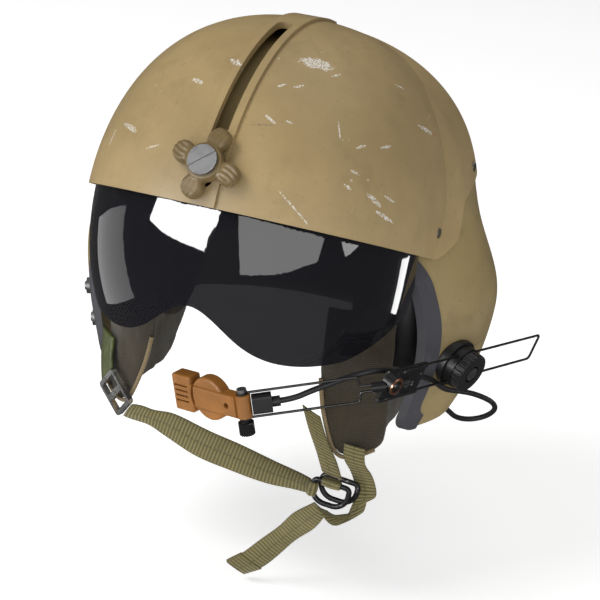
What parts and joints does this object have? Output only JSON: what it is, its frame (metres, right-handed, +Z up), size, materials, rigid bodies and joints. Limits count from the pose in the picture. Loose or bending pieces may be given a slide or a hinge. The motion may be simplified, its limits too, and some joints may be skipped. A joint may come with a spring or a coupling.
{
  "type": "flight helmet",
  "caption": "Flight helmet with a sliding smoke visor under a slotted cover, ear bulges, padded earcups, chin strap and a jointed microphone boom.",
  "frame": {"origin": "midpoint between the wearer's ear canals, which is where the head mount is", "axes": "+X to the wearer's left, +Y towards the back of the head, +Z up"},
  "size_m": [0.3065, 0.2796, 0.3629],
  "materials": {
    "shell_paint": "matt olive drab sprayed over laminate",
    "cover_paint": "worn satin tan-olive paint",
    "smoke_lens": "dark smoke polycarbonate, glossy",
    "knob_plastic": "brown moulded plastic",
    "mic_plastic": "ochre lacquered housing",
    "black_metal": "black lacquered metal",
    "black_plastic": "black moulded plastic",
    "trim_rubber": "matt dark grey rubber",
    "cord_rubber": "black cable sheath",
    "steel": "blackened and worn steel",
    "copper": "copper plated",
    "webbing": "ribbed olive webbing",
    "harness_cloth": "olive brown cloth",
    "leather": "dark leather",
    "snap_metal": "blackened brass snaps",
    "liner_foam": "rigid black foam",
    "cup_plastic": "moulded plastic earcup",
    "seal_vinyl": "soft vinyl over foam",
    "soft_foam": "open cell foam"
  },
  "bodies": {
    "helmet": {"outer_shell": "shell_paint", "edge_trim": "trim_rubber", "visor_cover": "cover_paint", "cover_screws": "steel", "visor_guide_left": "black_plastic", "visor_guide_right": "black_plastic", "foam_liner": "liner_foam", "crown_pad": "harness_cloth", "nape_pad": "harness_cloth", "headband": "leather", "headband_clips": "harness_cloth", "crown_straps": "webbing", "earcup_left": "cup_plastic", "earcup_right": "cup_plastic", "ear_seal_left": "seal_vinyl", "ear_seal_right": "seal_vinyl", "earphones": "black_plastic", "ear_foams": "soft_foam", "cup_spacer_left": "soft_foam", "cup_spacer_right": "soft_foam", "ear_harness_left": "harness_cloth", "ear_harness_right": "harness_cloth", "front_flap_left": "harness_cloth", "front_flap_right": "harness_cloth", "chin_strap_right": "webbing", "chin_strap_left": "webbing", "strap_tail": "webbing", "d_rings": "black_metal", "snap_tab": "leather", "strap_buckle": "black_metal", "snap_studs": "snap_metal", "swivel_base": "black_metal", "tension_screw": "steel", "cable_tie": "black_plastic", "lead_clip": "black_plastic", "comm_gland": "trim_rubber", "mic_lead_loop": "cord_rubber"},
    "visor": {"visor_lens": "smoke_lens", "visor_lock_stud": "steel", "slot_slider": "black_plastic"},
    "visor_lock": {"visor_knob": "knob_plastic", "knob_disc": "steel"},
    "tension_lock": {"tension_knob": "black_plastic"},
    "swivel": {"swivel_disc": "black_plastic"},
    "boom_rear": {"boom_wire_loop": "black_metal", "clamp_plate": "black_metal", "ball_socket": "black_metal", "socket_ring": "copper", "clamp_screws": "steel", "mic_lead_plate": "cord_rubber", "mic_lead_bridge": "cord_rubber"},
    "ball_stud": {"boom_ball": "black_metal"},
    "boom_front": {"front_collar": "black_metal", "front_wires": "black_metal", "pivot_screw": "steel", "mic_boot": "black_plastic", "mic_lead_front": "cord_rubber"},
    "microphone": {"mic_body": "mic_plastic", "mic_front_block": "mic_plastic"},
    "pivot_lock": {"thumb_screw": "black_plastic"}
  },
  "joints": [
    {"name": "visor_arc", "type": "hinge", "parent": "helmet", "child": "visor", "pos_m": [0, 0, 0.02], "axis": [-1, 0, 0], "range_deg": [0, 48]},
    {"name": "visor_knob_turn", "type": "hinge", "parent": "visor", "child": "visor_lock", "pos_m": [0, -0.11315, 0.08402], "axis": [0, -0.8704, 0.4924], "range_deg": [0, 120]},
    {"name": "tension_knob_turn", "type": "hinge", "parent": "helmet", "child": "tension_lock", "pos_m": [0.1311, -0.0008, -0.0434], "axis": [0.9122, -0.3127, -0.2648], "range_deg": [0, 180]},
    {"name": "boom_swivel", "type": "hinge", "parent": "helmet", "child": "swivel", "pos_m": [0.1311, -0.0008, -0.0434], "axis": [0.9122, -0.3127, -0.2648], "range_deg": [-4, 20], "deforming": ["mic_lead_loop"]},
    {"name": "boom_slide", "type": "slide", "parent": "swivel", "child": "boom_rear", "axis": [0.3016, 0.9498, -0.0827], "range_m": [-0.03, 0.02], "deforming": ["mic_lead_loop"]},
    {"name": "boom_swing", "type": "hinge", "parent": "boom_rear", "child": "ball_stud", "pos_m": [0.11737, -0.08402, -0.03358], "axis": [0.2774, -0.0044, 0.9608], "range_deg": [-9, 8], "deforming": ["mic_lead_bridge"]},
    {"name": "boom_twist", "type": "hinge", "parent": "ball_stud", "child": "boom_front", "pos_m": [0.11737, -0.08402, -0.03358], "axis": [-0.8798, -0.4204, -0.2217], "range_deg": [-25, 25], "deforming": ["mic_lead_bridge"]},
    {"name": "mic_pivot", "type": "hinge", "parent": "boom_front", "child": "microphone", "pos_m": [0.0379, -0.122, -0.0536], "axis": [-0.2, -0.0956, 0.9751], "range_deg": [-30, 35]},
    {"name": "pivot_lock_turn", "type": "hinge", "parent": "boom_front", "child": "pivot_lock", "pos_m": [0.0379, -0.122, -0.0536], "axis": [-0.2, -0.0956, 0.9751], "range_deg": [0, 180]}
  ]
}
